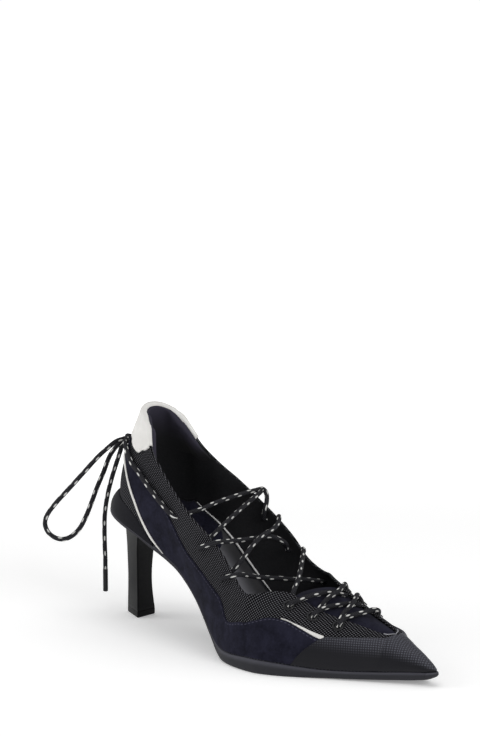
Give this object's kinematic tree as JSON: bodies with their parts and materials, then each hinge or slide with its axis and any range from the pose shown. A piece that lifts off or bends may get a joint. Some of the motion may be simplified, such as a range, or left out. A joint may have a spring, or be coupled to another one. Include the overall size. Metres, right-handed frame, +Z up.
{
  "type": "pointed toe pump",
  "caption": "Pointed toe lace-up pump in black mesh and navy suede on a slim three-sided heel, with cord laces crossed over an open throat and tied behind the heel.",
  "frame": {"origin": "on the floor under the forefoot, at the middle of the flat tread", "axes": "+X towards the toe, +Y towards the inner side of the foot, +Z up"},
  "size_m": [0.2684, 0.0965, 0.1369],
  "materials": {
    "mesh": "black woven mesh",
    "suede": "navy suede",
    "outsole_rubber": "moulded matt black rubber",
    "heel_finish": "satin black lacquer",
    "insole_leather": "smooth dark lining leather",
    "white_leather": "smooth white leather",
    "toe_rubber": "black moulded cap with fine dots",
    "lace_cord": "round black cord with white flecks",
    "aglet_plastic": "dark lace tips"
  },
  "bodies": {
    "root": {"upper": "mesh", "outsole": "outsole_rubber", "heel": "heel_finish", "heel_tip": "outsole_rubber", "insole": "insole_leather", "tongue": "suede", "suede_panel_lateral": "suede", "suede_panel_medial": "suede", "toe_cap": "toe_rubber", "heel_tab": "white_leather", "vamp_stripe_lateral": "white_leather", "vamp_stripe_medial": "white_leather", "piping": "white_leather", "lace_bar_toe": "lace_cord", "lace_cross_1": "lace_cord", "lace_cross_2": "lace_cord", "lace_cross_3": "lace_cord", "lace_cross_4": "lace_cord", "lace_cross_5": "lace_cord", "lace_run_lateral": "lace_cord", "lace_run_medial": "lace_cord", "lace_knot": "lace_cord", "lace_loop_lateral": "lace_cord", "lace_loop_medial": "lace_cord", "lace_end_lateral": "lace_cord", "lace_end_medial": "lace_cord", "aglet_lateral": "aglet_plastic", "aglet_medial": "aglet_plastic"}
  },
  "joints": []
}
